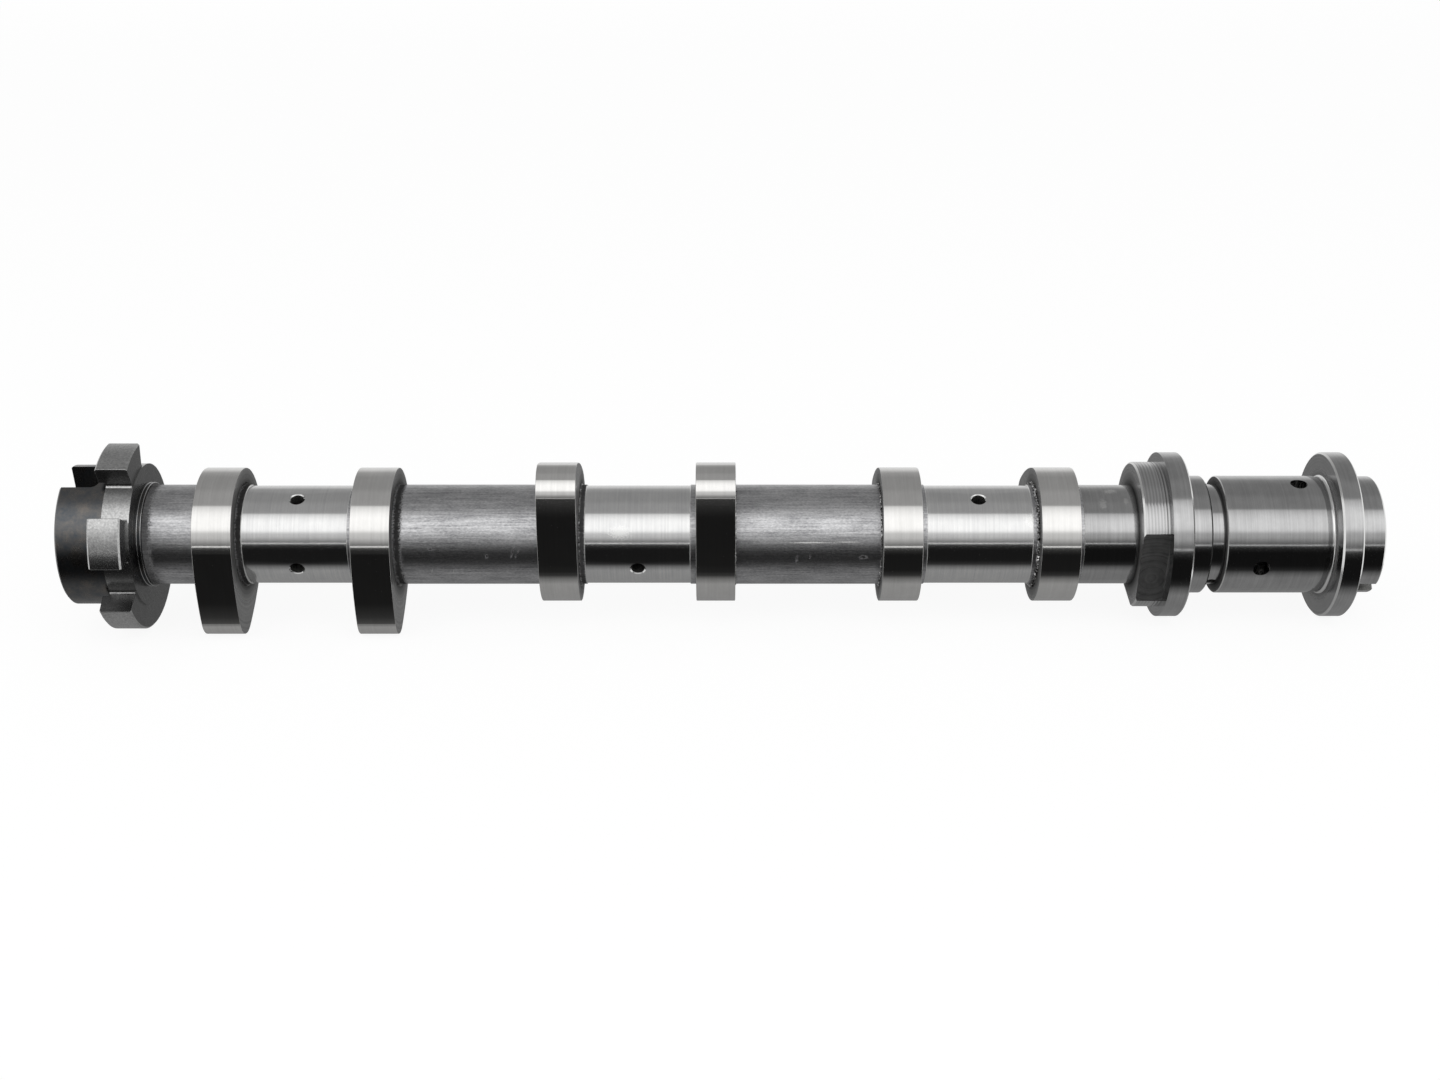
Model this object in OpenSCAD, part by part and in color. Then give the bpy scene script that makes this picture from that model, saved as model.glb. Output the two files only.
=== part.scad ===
// Camshaft for one bank of three cylinders, built up from separate parts.
// Six lobes are pressed on a drawn tube, a rear piece with a drive slot carries a
// trigger wheel, and a turned front piece carries the main journal and the flanges.
// Stations are measured along the shaft from the front face of the front flange.
// Angles are seen from the front end, counted anticlockwise from the timing slot.

/* [Shaft tube] */
// Outer diameter of the drawn tube
tube_d = 30.0; // [29.6:0.1:31]
// Bore of the tube, which carries the oil
tube_bore_d = 20.0; // [17:0.1:23]
// Diameter of the journals ground between the lobes of each pair
journal_d = 29.4; // [28.6:0.1:29.5]
// Diameter of the ground stretch behind the front piece
shank_d = 29.8; // [28.6:0.1:29.9]
// Length of unground tube left beside each lobe
neck_w = 1.8; // [0.6:0.1:4]
// Diameter of the oil holes in the journals
oil_hole_d = 4.0; // [2.5:0.1:6]
// Depth of the small chamfer round each oil hole
oil_hole_chamfer = 0.4; // [0.1:0.05:0.8]

/* [Layout] */
// Distance from the front flange's face to the middle of the front pair of lobes
front_pair_x = 110.1; // [104:0.1:118]
// Distance from one pair of lobes to the next
bore_pitch = 101.2; // [90:0.1:112]
// Distance between the two lobes of a pair
valve_pitch = 46.3; // [36:0.1:52]
// Distance from the middle of the rear pair to the rear end of the tube
rear_overhang = 44.9; // [40:0.1:56]

/* [Cam lobes] */
// Width of a lobe along the shaft
lobe_w = 11.6; // [9:0.1:14]
// Diameter of the base circle
cam_base_d = 40.2; // [38:0.1:44]
// Height of the nose above the base circle
cam_lift = 10.0; // [8:0.1:11.5]
// Radius of the nose
nose_r = 8.5; // [6:0.1:10]
// Radius of the convex flanks
flank_r = 65; // [50:1:90]
// Chamfer at the two mouths of a lobe's bore
lobe_bore_chamfer = 0.8; // [0.2:0.1:1.5]
// Angle of the rear pair's noses from the timing slot
rear_pair_angle = 19.9; // [0:0.1:40]
// Turn from one pair of noses to the next
firing_step = 120; // [120:120:240]

/* [Trigger wheel] */
// Outer diameter over the teeth
wheel_d = 57.0; // [52:0.1:60]
// Width of the teeth
tooth_w = 9.5; // [7:0.1:11]
// Diameter of the wheel between the teeth
wheel_root_d = 42.8; // [42.4:0.1:45]
// Arc of each of the two short teeth
short_tooth = 30.5; // [26:0.5:33]
// Arc of the long tooth
long_tooth = 117.5; // [100:0.5:120]
// Arc of the two short gaps
short_gap = 32; // [26:0.5:34]
// Angle of the long tooth's middle from the timing slot
long_tooth_angle = 46.3; // [30:0.1:60]
// Fillet at the foot of each tooth
tooth_fillet = 1.0; // [0.4:0.1:1.6]
// Chamfer along the outer edges of the teeth
tooth_chamfer = 0.5; // [0.2:0.1:1]
// Depth of the recess by which the wheel reaches over the rear boss
register_depth = 1.9; // [1:0.1:3]
// Gap left between the rear boss and the teeth that reach over it
register_gap = 1.8; // [0.8:0.1:2.4]
// How far the hub stands past the teeth at the front
hub_proud = 0.5; // [0.2:0.1:1]

/* [Rear drive piece] */
// Diameter of the rear boss
rear_boss_d = 42.0; // [40:0.1:42.2]
// Length of the rear boss behind the teeth
rear_boss_len = 11.9; // [9:0.1:16]
// Diameter of the shank that carries the wheel
rear_shank_d = 31.2; // [30.4:0.1:33]
// How far the shank stands out in front of the wheel's hub
rear_shank_proud = 1.8; // [0.8:0.1:4]
// Width of the cross slot that drives from the rear end
drive_slot_w = 11.9; // [8:0.1:14]
// Depth of the cross slot
drive_slot_depth = 11.2; // [7:0.1:12]
// Radius along the floor of the cross slot
drive_slot_fillet = 2.4; // [0.6:0.1:3]
// Angle of the cross slot from the timing slot
drive_slot_angle = 56.7; // [40:0.1:70]
// Diameter of the counterbore
counterbore_d = 23.2; // [18:0.1:28]
// Depth of the counterbore
counterbore_depth = 6.0; // [3:0.1:8]
// Diameter of the centre hole
centre_hole_d = 12.0; // [8:0.1:13]
// Depth of the centre hole before its point
centre_hole_depth = 13.5; // [11.5:0.1:15]
// Length of the spigot pressed into the tube
rear_spigot_len = 14; // [8:0.5:24]

/* [Front piece] */
// Diameter of the pilot boss at the front end
pilot_d = 35.0; // [33:0.1:38]
// Length of the pilot boss
pilot_len = 8.7; // [7:0.1:14]
// Diameter of the two thrust flanges
flange_d = 49.5; // [46:0.1:54]
// Width of the front flange
front_flange_w = 6.2; // [4:0.1:9]
// Width of the second flange
second_flange_w = 6.2; // [4:0.1:9]
// Diameter of the main journal between the flanges
main_journal_d = 35.3; // [34:0.1:38]
// Length of the main journal from the front flange to the oil groove
main_journal_len = 31.6; // [31:0.1:38]
// Width of the oil groove
oil_groove_w = 4.3; // [3.8:0.1:6]
// Diameter at the bottom of the oil groove
oil_groove_d = 30.2; // [28:0.1:32]
// Length of the journal behind the oil groove
land_w = 7.1; // [5:0.1:12]
// Diameter of the relief turned beside the front flange
relief_d = 34.5; // [33.4:0.1:34.8]
// Width of that relief before its fillet
relief_w = 1.5; // [0.6:0.1:2.4]
// Fillet between the relief and the flange
relief_fillet = 0.9; // [0.4:0.1:1.2]
// Diameter of the collar with the flats
collar_d = 43.7; // [41:0.1:46]
// Width of that collar
collar_w = 7.9; // [6:0.1:12]
// Distance from the axis to the first flat
flat_1_dist = 18.4; // [17:0.1:20]
// Distance from the axis to the second flat
flat_2_dist = 16.8; // [16:0.1:20]
// Angle of the first flat from the timing slot
flat_1_angle = -33; // [-45:1:-20]
// Angle between the two flats
flat_spread = 90; // [80:1:100]
// Chamfer on the rear edge of the collar
collar_chamfer = 0.5; // [0.3:0.1:1.5]
// Chamfer on the other turned edges
edge_chamfer = 0.5; // [0.2:0.1:0.8]
// Length of the spigot pressed into the tube
front_spigot_len = 18; // [10:0.5:22]

/* [Front oil ways and bolt] */
// Minor diameter of the M12 x 1.5 centre bolt thread
bolt_hole_d = 10.4; // [8.4:0.1:12.6]
// Depth of the threaded hole from the end face
bolt_hole_depth = 36; // [24:0.5:42]
// Diameter of the countersink at its mouth
bolt_mouth_d = 14.2; // [13:0.1:16]
// Diameter of the oil way along the axis
gallery_d = 8.0; // [5:0.1:8.2]
// Diameter of the four oil ways drilled from the end face
drilling_d = 4.8; // [3:0.1:5.2]
// Radius of the circle that they lie on
drilling_r = 12.2; // [11:0.1:12.8]
// Diameter of the radial holes that feed them
feed_d = 5.0; // [3:0.1:5.6]
// Distance from the flange's face to the front ring of radial holes
front_feed_x = 14.7; // [12:0.1:18]
// Distance from the flange's face to the rear ring of radial holes
rear_feed_x = 27.2; // [24:0.1:31]
// Diameter of the radial hole in the oil groove
groove_hole_d = 3.1; // [2:0.1:3.6]
// Width of the timing slot in the pilot boss
timing_slot_w = 4.8; // [3:0.1:5.5]
// Radial depth of the timing slot
timing_slot_reach = 5.7; // [4:0.1:6.5]
// Length of the timing slot along the shaft
timing_slot_len = 6.0; // [3:0.1:6.8]

/* [Place] */
// Turn of the whole shaft about its axis, so that it lies as it comes to rest
rest_turn = 222.8; // [0:0.1:359]

/* [Hidden] */
$fn = 96;
slack = 1;

ground_steel = [0.80, 0.80, 0.81];
drawn_steel = [0.55, 0.54, 0.54];
sintered_steel = [0.66, 0.65, 0.65];
blackened_steel = [0.24, 0.25, 0.27];
turned_steel = [0.72, 0.72, 0.72];

lobe_count = 6;
function pair_of(n) = floor((n - 1) / 2);
function pair_x(p) = -front_pair_x - (2 - p) * bore_pitch;
function lobe_x(n) = pair_x(pair_of(n)) + (n % 2 == 1 ? -1 : 1) * valve_pitch / 2;
function lobe_angle(n) = rear_pair_angle - pair_of(n) * firing_step;

// Journal oil holes, each a pair number and an angle from the timing slot
journal_holes = [[0, -111], [0, -21], [1, -21], [2, -111]];

// Axial oil ways, each an angle and the station of the radial hole that feeds it
drillings = [[-30.5, rear_feed_x], [164.5, rear_feed_x], [-124, front_feed_x], [70, front_feed_x]];
groove_hole_angle = 3.4;

second_flange_front = -front_flange_w - main_journal_len - oil_groove_w - land_w;
second_flange_rear = second_flange_front - second_flange_w;
collar_rear = second_flange_rear - collar_w;
groove_x = -front_flange_w - main_journal_len - oil_groove_w / 2;

tube_rear = pair_x(0) - rear_overhang;
hub_front = tube_rear - rear_shank_proud;
teeth_front = hub_front - hub_proud;
teeth_rear = teeth_front - tooth_w;
register_face = teeth_rear + register_depth;
register_d = rear_boss_d + 2 * register_gap;
rear_end = teeth_rear - rear_boss_len;

base_r = cam_base_d / 2;
nose_x = base_r + cam_lift - nose_r;
flank_offset = flank_r - base_r;
flank_reach = flank_r - nose_r;
base_join = acos((flank_reach ^ 2 - nose_x ^ 2 - flank_offset ^ 2) / (2 * nose_x * flank_offset));
nose_join = asin(flank_offset * sin(base_join) / flank_reach);
flank_margin = flank_r / 4;
flank_fn = 360;

function polar(r, a) = [r * cos(a), r * sin(a)];
function arc(centre, r, from, to, steps) =
    [for (i = [0 : steps]) centre + polar(r, from + (to - from) * i / steps)];

// Lays a shape drawn upright on the shaft: up becomes forward, and the angles stay
module on_shaft() {
    rotate([rest_turn, 0, 0]) rotate([90, 0, 90]) children();
}

module disc_between(low, high, d) {
    translate([0, 0, low]) cylinder(h = high - low, d = d);
}

module radial_hole(station, angle, d, from_r, to_r) {
    rotate([0, 0, angle]) translate([from_r, 0, station]) rotate([0, 90, 0])
        cylinder(h = to_r - from_r, d = d);
}

// A chamfer cone that opens outwards where a radial hole meets a round surface
module hole_chamfer(station, angle, d, surface_r, size) {
    rotate([0, 0, angle]) translate([surface_r - size, 0, station]) rotate([0, 90, 0])
        cylinder(h = 2 * size, d1 = d, d2 = d + 4 * size);
}

module shaft_tube() {
    neck = lobe_w / 2 + neck_w;
    profile = concat(
        [[tube_bore_d / 2, tube_rear], [tube_d / 2, tube_rear]],
        [for (p = [0 : 2]) each [
            [tube_d / 2, lobe_x(2 * p + 1) + neck],
            [journal_d / 2, lobe_x(2 * p + 1) + neck],
            [journal_d / 2, lobe_x(2 * p + 2) - neck],
            [tube_d / 2, lobe_x(2 * p + 2) - neck]
        ]],
        [
            [tube_d / 2, lobe_x(lobe_count) + neck],
            [shank_d / 2, lobe_x(lobe_count) + neck],
            [shank_d / 2, collar_rear],
            [tube_bore_d / 2, collar_rear]
        ]
    );
    color(drawn_steel) on_shaft() difference() {
        rotate_extrude() polygon(profile);
        for (hole = journal_holes) {
            radial_hole(pair_x(hole[0]), hole[1], oil_hole_d, 0, tube_d);
            hole_chamfer(pair_x(hole[0]), hole[1], oil_hole_d, journal_d / 2, oil_hole_chamfer);
        }
    }
}

// Outline of a lobe with its nose at 0 degrees: base circle, nose and two flank arcs.
// The flanks' two circles are kept only between the points where they meet the others.
module cam_outline() {
    flank_centre = polar(-flank_offset, base_join);
    mirrored_centre = [flank_centre[0], -flank_centre[1]];
    nose_centre = [nose_x, 0];
    circle(r = base_r);
    translate(nose_centre) circle(r = nose_r);
    intersection() {
        translate(flank_centre) circle(r = flank_r, $fn = flank_fn);
        translate(mirrored_centre) circle(r = flank_r, $fn = flank_fn);
        polygon([
            polar(base_r, base_join),
            polar(base_r + flank_margin, base_join),
            nose_centre + polar(nose_r + flank_margin, nose_join),
            nose_centre + polar(nose_r, nose_join),
            nose_centre + polar(nose_r, -nose_join),
            nose_centre + polar(nose_r + flank_margin, -nose_join),
            polar(base_r + flank_margin, -base_join),
            polar(base_r, -base_join)
        ]);
    }
}

module cam_lobe(n) {
    color(ground_steel) on_shaft() translate([0, 0, lobe_x(n) - lobe_w / 2]) difference() {
        rotate([0, 0, lobe_angle(n)]) linear_extrude(lobe_w) cam_outline();
        translate([0, 0, -slack]) cylinder(h = lobe_w + 2 * slack, d = tube_d);
        bore_mouth();
        translate([0, 0, lobe_w]) mirror([0, 0, 1]) bore_mouth();
    }
}

module bore_mouth() {
    translate([0, 0, -slack])
        cylinder(h = lobe_bore_chamfer + slack,
                 d1 = tube_d + 2 * (lobe_bore_chamfer + slack), d2 = tube_d);
}

// A sector from one angle to another, wider than the trigger wheel
module sector(from, to) {
    steps = ceil((to - from) / 30);
    polygon(concat([[0, 0]], arc([0, 0], wheel_d, from, to, steps)));
}

// One gap of the trigger wheel from one angle to another, with filleted corners
module tooth_gap(from, to) {
    root_r = wheel_root_d / 2;
    corner_r = root_r + tooth_fillet;
    inset = asin(tooth_fillet / corner_r);
    translate([0, 0, teeth_rear - slack]) linear_extrude(tooth_w + 2 * slack) {
        difference() {
            sector(from, to);
            circle(r = corner_r * cos(inset));
        }
        difference() {
            sector(from + inset, to - inset);
            circle(r = root_r);
        }
        for (a = [from + inset, to - inset])
            translate(polar(corner_r, a)) circle(r = tooth_fillet, $fn = 32);
    }
}

module trigger_wheel() {
    long_half = long_tooth / 2;
    first_gap = long_tooth_angle - long_half - short_gap;
    first_tooth = first_gap - short_tooth;
    second_gap = first_tooth - short_gap;
    second_tooth = second_gap - short_tooth;
    color(sintered_steel) on_shaft() difference() {
        union() {
            disc_between(register_face, hub_front, wheel_root_d);
            difference() {
                rotate_extrude() polygon([
                    [0, teeth_rear],
                    [wheel_d / 2 - tooth_chamfer, teeth_rear],
                    [wheel_d / 2, teeth_rear + tooth_chamfer],
                    [wheel_d / 2, teeth_front - tooth_chamfer],
                    [wheel_d / 2 - tooth_chamfer, teeth_front],
                    [0, teeth_front]
                ]);
                tooth_gap(first_gap, first_gap + short_gap);
                tooth_gap(second_gap, second_gap + short_gap);
                tooth_gap(long_tooth_angle + long_half - 360, second_tooth);
            }
        }
        disc_between(register_face - slack, hub_front + slack, rear_shank_d);
        disc_between(teeth_rear - slack, register_face, register_d);
    }
}

// The cross slot, open at the rear end, with rounded corners along its floor
module drive_slot() {
    reach = rear_boss_d + 2 * slack;
    side = drive_slot_w / 2 - drive_slot_fillet;
    wall_depth = drive_slot_depth - drive_slot_fillet;
    translate([0, 0, rear_end]) rotate([90, 0, drive_slot_angle + 90])
        translate([0, 0, -reach / 2]) linear_extrude(reach) {
            translate([-drive_slot_w / 2, -slack]) square([drive_slot_w, wall_depth + slack]);
            translate([-side, -slack]) square([2 * side, drive_slot_depth + slack]);
            for (x = [-side, side])
                translate([x, wall_depth]) circle(r = drive_slot_fillet, $fn = 48);
        }
}

module rear_drive_piece() {
    boss_r = rear_boss_d / 2;
    point = centre_hole_d / 2 / tan(59);
    spigot_front = tube_rear + rear_spigot_len;
    color(blackened_steel) on_shaft() difference() {
        rotate_extrude() polygon([
            [0, rear_end],
            [boss_r - edge_chamfer, rear_end],
            [boss_r, rear_end + edge_chamfer],
            [boss_r, register_face],
            [rear_shank_d / 2, register_face],
            [rear_shank_d / 2, tube_rear],
            [tube_bore_d / 2, tube_rear],
            [tube_bore_d / 2, spigot_front - edge_chamfer],
            [tube_bore_d / 2 - edge_chamfer, spigot_front],
            [0, spigot_front]
        ]);
        drive_slot();
        disc_between(rear_end - slack, rear_end + counterbore_depth, counterbore_d);
        disc_between(rear_end - slack, rear_end + centre_hole_depth, centre_hole_d);
        translate([0, 0, rear_end + centre_hole_depth])
            cylinder(h = point, d1 = centre_hole_d, d2 = 0);
    }
}

// Half section of the front piece, from the spigot to the pilot boss
function front_section() =
    let (
        spigot_rear = collar_rear - front_spigot_len,
        collar_r = collar_d / 2,
        flange_r = flange_d / 2,
        journal_r = main_journal_d / 2,
        relief_r = relief_d / 2,
        pilot_r = pilot_d / 2,
        groove_front = -front_flange_w - main_journal_len,
        c = edge_chamfer
    )
    [
        [0, spigot_rear],
        [tube_bore_d / 2 - c, spigot_rear],
        [tube_bore_d / 2, spigot_rear + c],
        [tube_bore_d / 2, collar_rear],
        [collar_r - collar_chamfer, collar_rear],
        [collar_r, collar_rear + collar_chamfer],
        [collar_r, second_flange_rear],
        [flange_r, second_flange_rear],
        [flange_r, second_flange_front - c],
        [flange_r - c, second_flange_front],
        [journal_r, second_flange_front],
        [journal_r, groove_front - oil_groove_w - c],
        [journal_r - c, groove_front - oil_groove_w],
        [oil_groove_d / 2, groove_front - oil_groove_w],
        [oil_groove_d / 2, groove_front],
        [journal_r - c / 2, groove_front],
        [journal_r, groove_front + c / 2],
        [journal_r, -front_flange_w - relief_fillet - relief_w],
        [relief_r, -front_flange_w - relief_fillet - relief_w],
        [relief_r, -front_flange_w - relief_fillet],
        [relief_r + relief_fillet, -front_flange_w - relief_fillet],
        [relief_r + relief_fillet, -front_flange_w],
        [flange_r - c, -front_flange_w],
        [flange_r, -front_flange_w + c],
        [flange_r, -c],
        [flange_r - c, 0],
        [pilot_r, 0],
        [pilot_r, pilot_len - c],
        [pilot_r - c, pilot_len],
        [0, pilot_len]
    ];

module collar_flat(angle, dist) {
    rotate([0, 0, angle]) translate([dist, -collar_d / 2, collar_rear - slack])
        cube([collar_d, collar_d, collar_w + slack]);
}

module timing_slot() {
    inner = pilot_d / 2 - timing_slot_reach + timing_slot_w / 2;
    low = pilot_len - timing_slot_len;
    height = timing_slot_len + slack;
    translate([inner, 0, low]) cylinder(h = height, d = timing_slot_w);
    translate([inner, -timing_slot_w / 2, low]) cube([pilot_d / 2, timing_slot_w, height]);
}

module front_oil_ways() {
    for (way = drillings) {
        rotate([0, 0, way[0]]) translate([drilling_r, 0, 0])
            disc_between(-way[1] - feed_d / 2, pilot_len + slack, drilling_d);
        radial_hole(-way[1], way[0], feed_d, drilling_r, flange_d / 2 - slack);
    }
    radial_hole(groove_x, groove_hole_angle, groove_hole_d, 0, main_journal_d / 2 + slack);
}

module front_bores() {
    mouth = (bolt_mouth_d - bolt_hole_d) / 2;
    disc_between(pilot_len - bolt_hole_depth, pilot_len + slack, bolt_hole_d);
    translate([0, 0, pilot_len - mouth])
        cylinder(h = mouth + slack, d1 = bolt_hole_d, d2 = bolt_mouth_d + 2 * slack);
    disc_between(collar_rear - front_spigot_len - slack, pilot_len - bolt_hole_depth + slack, gallery_d);
}

module front_journal_piece() {
    color(turned_steel) on_shaft() difference() {
        rotate_extrude() difference() {
            polygon(front_section());
            translate([relief_d / 2 + relief_fillet, -front_flange_w - relief_fillet])
                circle(r = relief_fillet, $fn = 32);
        }
        collar_flat(flat_1_angle, flat_1_dist);
        collar_flat(flat_1_angle + flat_spread, flat_2_dist);
        timing_slot();
        front_oil_ways();
        front_bores();
    }
}

shaft_tube();
cam_lobe(1);  // cam_lobe_1
cam_lobe(2);  // cam_lobe_2
cam_lobe(3);  // cam_lobe_3
cam_lobe(4);  // cam_lobe_4
cam_lobe(5);  // cam_lobe_5
cam_lobe(6);  // cam_lobe_6
trigger_wheel();
rear_drive_piece();
front_journal_piece();
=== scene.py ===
import math
import random

import bmesh
import bpy
from mathutils import Matrix, Vector


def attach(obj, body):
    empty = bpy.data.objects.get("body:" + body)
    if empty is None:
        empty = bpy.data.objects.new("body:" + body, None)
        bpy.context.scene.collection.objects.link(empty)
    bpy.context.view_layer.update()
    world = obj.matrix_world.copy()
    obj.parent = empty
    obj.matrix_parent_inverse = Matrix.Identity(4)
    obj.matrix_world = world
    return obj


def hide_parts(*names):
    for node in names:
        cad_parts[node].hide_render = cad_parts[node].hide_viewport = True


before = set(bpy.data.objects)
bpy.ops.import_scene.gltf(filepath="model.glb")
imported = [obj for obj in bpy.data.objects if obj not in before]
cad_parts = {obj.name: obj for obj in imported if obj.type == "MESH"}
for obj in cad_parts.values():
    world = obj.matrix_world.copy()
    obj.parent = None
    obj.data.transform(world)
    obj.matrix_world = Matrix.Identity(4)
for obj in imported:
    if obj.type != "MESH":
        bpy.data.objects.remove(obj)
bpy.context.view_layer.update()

mm = 0.001
shaftAxis = Vector((1, 0, 0))
mergeDistance = 0.0005 * mm
facing = 0.9  # a face looks along a direction when its normal has more than this share of it
leaning = 0.5  # and it leans towards that direction with more than this share
sharpEdge = math.radians(50)  # an edge of a solid is sharp when its faces turn by more than this
print("frame loaded:", ", ".join(sorted(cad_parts)))


def linear(code):  # an sRGB hex value as the linear colour that a socket takes
    parts = [int(code[i:i + 2], 16) / 255 for i in (1, 3, 5)]
    return tuple(c / 12.92 if c <= 0.04045 else ((c + 0.055) / 1.055) ** 2.4 for c in parts) + (1.0,)


def addNode(tree, kind, settings=None, links=None):
    node = tree.nodes.new(kind)
    for name, value in (settings or {}).items():
        if isinstance(name, int) or name in node.inputs:
            node.inputs[name].default_value = value
        else:
            setattr(node, name, value)
    for name, source in (links or {}).items():
        tree.links.new(source, node.inputs[name])
    return node


def newMaterial(name):
    material = bpy.data.materials.new(name)
    material.use_nodes = True
    tree = material.node_tree
    tree.nodes.clear()
    return material, tree


def linkMesh(bm, name):
    mesh = bpy.data.meshes.new(name)
    bm.to_mesh(mesh)
    bm.free()
    obj = bpy.data.objects.new(name, mesh)
    bpy.context.scene.collection.objects.link(obj)
    return obj


# The camera looks down on the shaft from its -Y side, opposite the middle of its length. It is lowered by
# drop, so the shaft lies a little above the middle of the picture
cameraView = {"distance": 580 * mm, "elevation": 23.2, "centreX": -186.9 * mm, "drop": 1.77 * mm,
              "lens": 47.96, "filmWidth": 36, "farEnd": 100}


def placeCamera(view):
    tilt = math.radians(view["elevation"])
    back = Vector((0, -math.cos(tilt), math.sin(tilt)))
    up = Vector((0, math.sin(tilt), math.cos(tilt)))
    data = bpy.data.cameras.new("camera")
    data.lens = view["lens"]
    data.sensor_width = view["filmWidth"]
    data.clip_end = view["farEnd"]
    camera = bpy.data.objects.new("camera", data)
    camera.rotation_mode = "QUATERNION"
    camera.rotation_quaternion = (-back).to_track_quat("-Z", "Y")
    camera.location = Vector((view["centreX"], 0, 0)) + back * view["distance"] - up * view["drop"]
    bpy.context.scene.collection.objects.link(camera)
    bpy.context.scene.camera = camera


placeCamera(cameraView)
print("camera placed")

# The floor touches the trigger wheel's rim and the front flange's rim, so it leans a little. The camera sees
# it mostly by its own light, so it looks nearly white and still takes a faint shadow
floorPlan = {"wheelX": -360.2 * mm, "wheelRim": 28.5 * mm, "flangeX": -0.5 * mm, "flangeRim": 24.75 * mm,
             "reach": 40.0, "colour": "#F4F4F4", "ownLight": 0.85, "ownStrength": 1.07}
# A strip tent goes right round the shaft. Each stop has its height angle and its light: 0 is level on the -Y
# side, 90 is overhead and -90 is below. A ground cylinder shows these strips as long bright and dark bands
tentPlan = {"radius": 1.6, "halfLength": 2.4, "strength": 1.0, "steps": 128,
            "stops": [(-180, 0.85), (-168, 0.75), (-160, 0.24), (-110, 0.34), (-72, 0.38), (-60, 0.22),
                      (-52, 0.04), (-42, 0.014), (-12, 0.012), (-5, 0.035), (-1, 0.09), (1.2, 0.16),
                      (1.4, 1.6), (2.3, 1.6), (2.5, 0.2), (5, 0.25), (10, 0.47), (16, 0.72), (24, 0.82),
                      (30, 1.38), (36, 1.5), (50, 1.5), (58, 1.36), (65, 1.15), (70.5, 0.95), (73, 0.43),
                      (97, 0.42), (108, 0.36), (138, 0.35), (155, 0.44), (168, 0.75), (180, 0.85)]}
# The world gives a weak fill from all sides, and shows white to the camera and in reflections
worldPlan = {"fill": "#959595", "seen": "#FFFFFF"}


def makeFloor(plan):
    slope = (plan["wheelRim"] - plan["flangeRim"]) / (plan["flangeX"] - plan["wheelX"])
    bm = bmesh.new()
    bmesh.ops.create_grid(bm, x_segments=1, y_segments=1, size=plan["reach"])
    for vert in bm.verts:
        vert.co.z = -plan["wheelRim"] + (vert.co.x - plan["wheelX"]) * slope
    floor = linkMesh(bm, "floor")
    material, tree = newMaterial("paleFloor")
    paper = addNode(tree, "ShaderNodeBsdfDiffuse", {"Color": linear(plan["colour"])})
    own = addNode(tree, "ShaderNodeEmission", {"Color": (1, 1, 1, 1), "Strength": plan["ownStrength"]})
    rays = addNode(tree, "ShaderNodeLightPath")
    seen = addNode(tree, "ShaderNodeMath", {"operation": "MAXIMUM"},
                   {0: rays.outputs["Is Camera Ray"], 1: rays.outputs["Is Transmission Ray"]})
    share = addNode(tree, "ShaderNodeMath", {"operation": "MULTIPLY", 1: plan["ownLight"]},
                    {0: seen.outputs[0]})
    mixed = addNode(tree, "ShaderNodeMixShader",
                    links={0: share.outputs[0], 1: paper.outputs[0], 2: own.outputs[0]})
    addNode(tree, "ShaderNodeOutputMaterial", links={"Surface": mixed.outputs[0]})
    floor.data.materials.append(material)
    floor.visible_glossy = False  # reflections see the lower half of the tent, which is dark on the -Y side


def makeTent(plan):
    bm = bmesh.new()
    middle = Vector((cameraView["centreX"], 0, 0))
    rim = middle - Vector((0, plan["radius"], 0))
    ends = [bm.verts.new(rim + shaftAxis * side * plan["halfLength"]) for side in (-1, 1)]
    edge = bm.edges.new(ends)
    bmesh.ops.spin(bm, geom=[*ends, edge], cent=middle, axis=shaftAxis, angle=2 * math.pi,
                   steps=plan["steps"], use_merge=True)
    tent = linkMesh(bm, "lightTent")
    material, tree = newMaterial("tentLight")
    where = addNode(tree, "ShaderNodeTexCoord").outputs["Object"]
    parts = addNode(tree, "ShaderNodeSeparateXYZ", links={0: where})
    front = addNode(tree, "ShaderNodeMath", {"operation": "MULTIPLY", 1: -1.0}, {0: parts.outputs["Y"]})
    angle = addNode(tree, "ShaderNodeMath", {"operation": "ARCTAN2"},
                    {0: parts.outputs["Z"], 1: front.outputs[0]})
    share = addNode(tree, "ShaderNodeMapRange", {"From Min": -math.pi, "From Max": math.pi},
                    {"Value": angle.outputs[0]})
    tone = addNode(tree, "ShaderNodeValToRGB", links={0: share.outputs[0]})
    stops = tone.color_ramp.elements
    while len(stops) < len(plan["stops"]):
        stops.new(0.5)
    for stop, (degrees, level) in zip(stops, plan["stops"]):
        stop.position = (degrees + 180) / 360
        stop.color = (level, level, level, 1)
    light = addNode(tree, "ShaderNodeEmission", {"Strength": plan["strength"]},
                    {"Color": tone.outputs["Color"]})
    addNode(tree, "ShaderNodeOutputMaterial", links={"Surface": light.outputs["Emission"]})
    tent.data.materials.append(material)
    tent.visible_camera = False
    tent.visible_shadow = False


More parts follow.
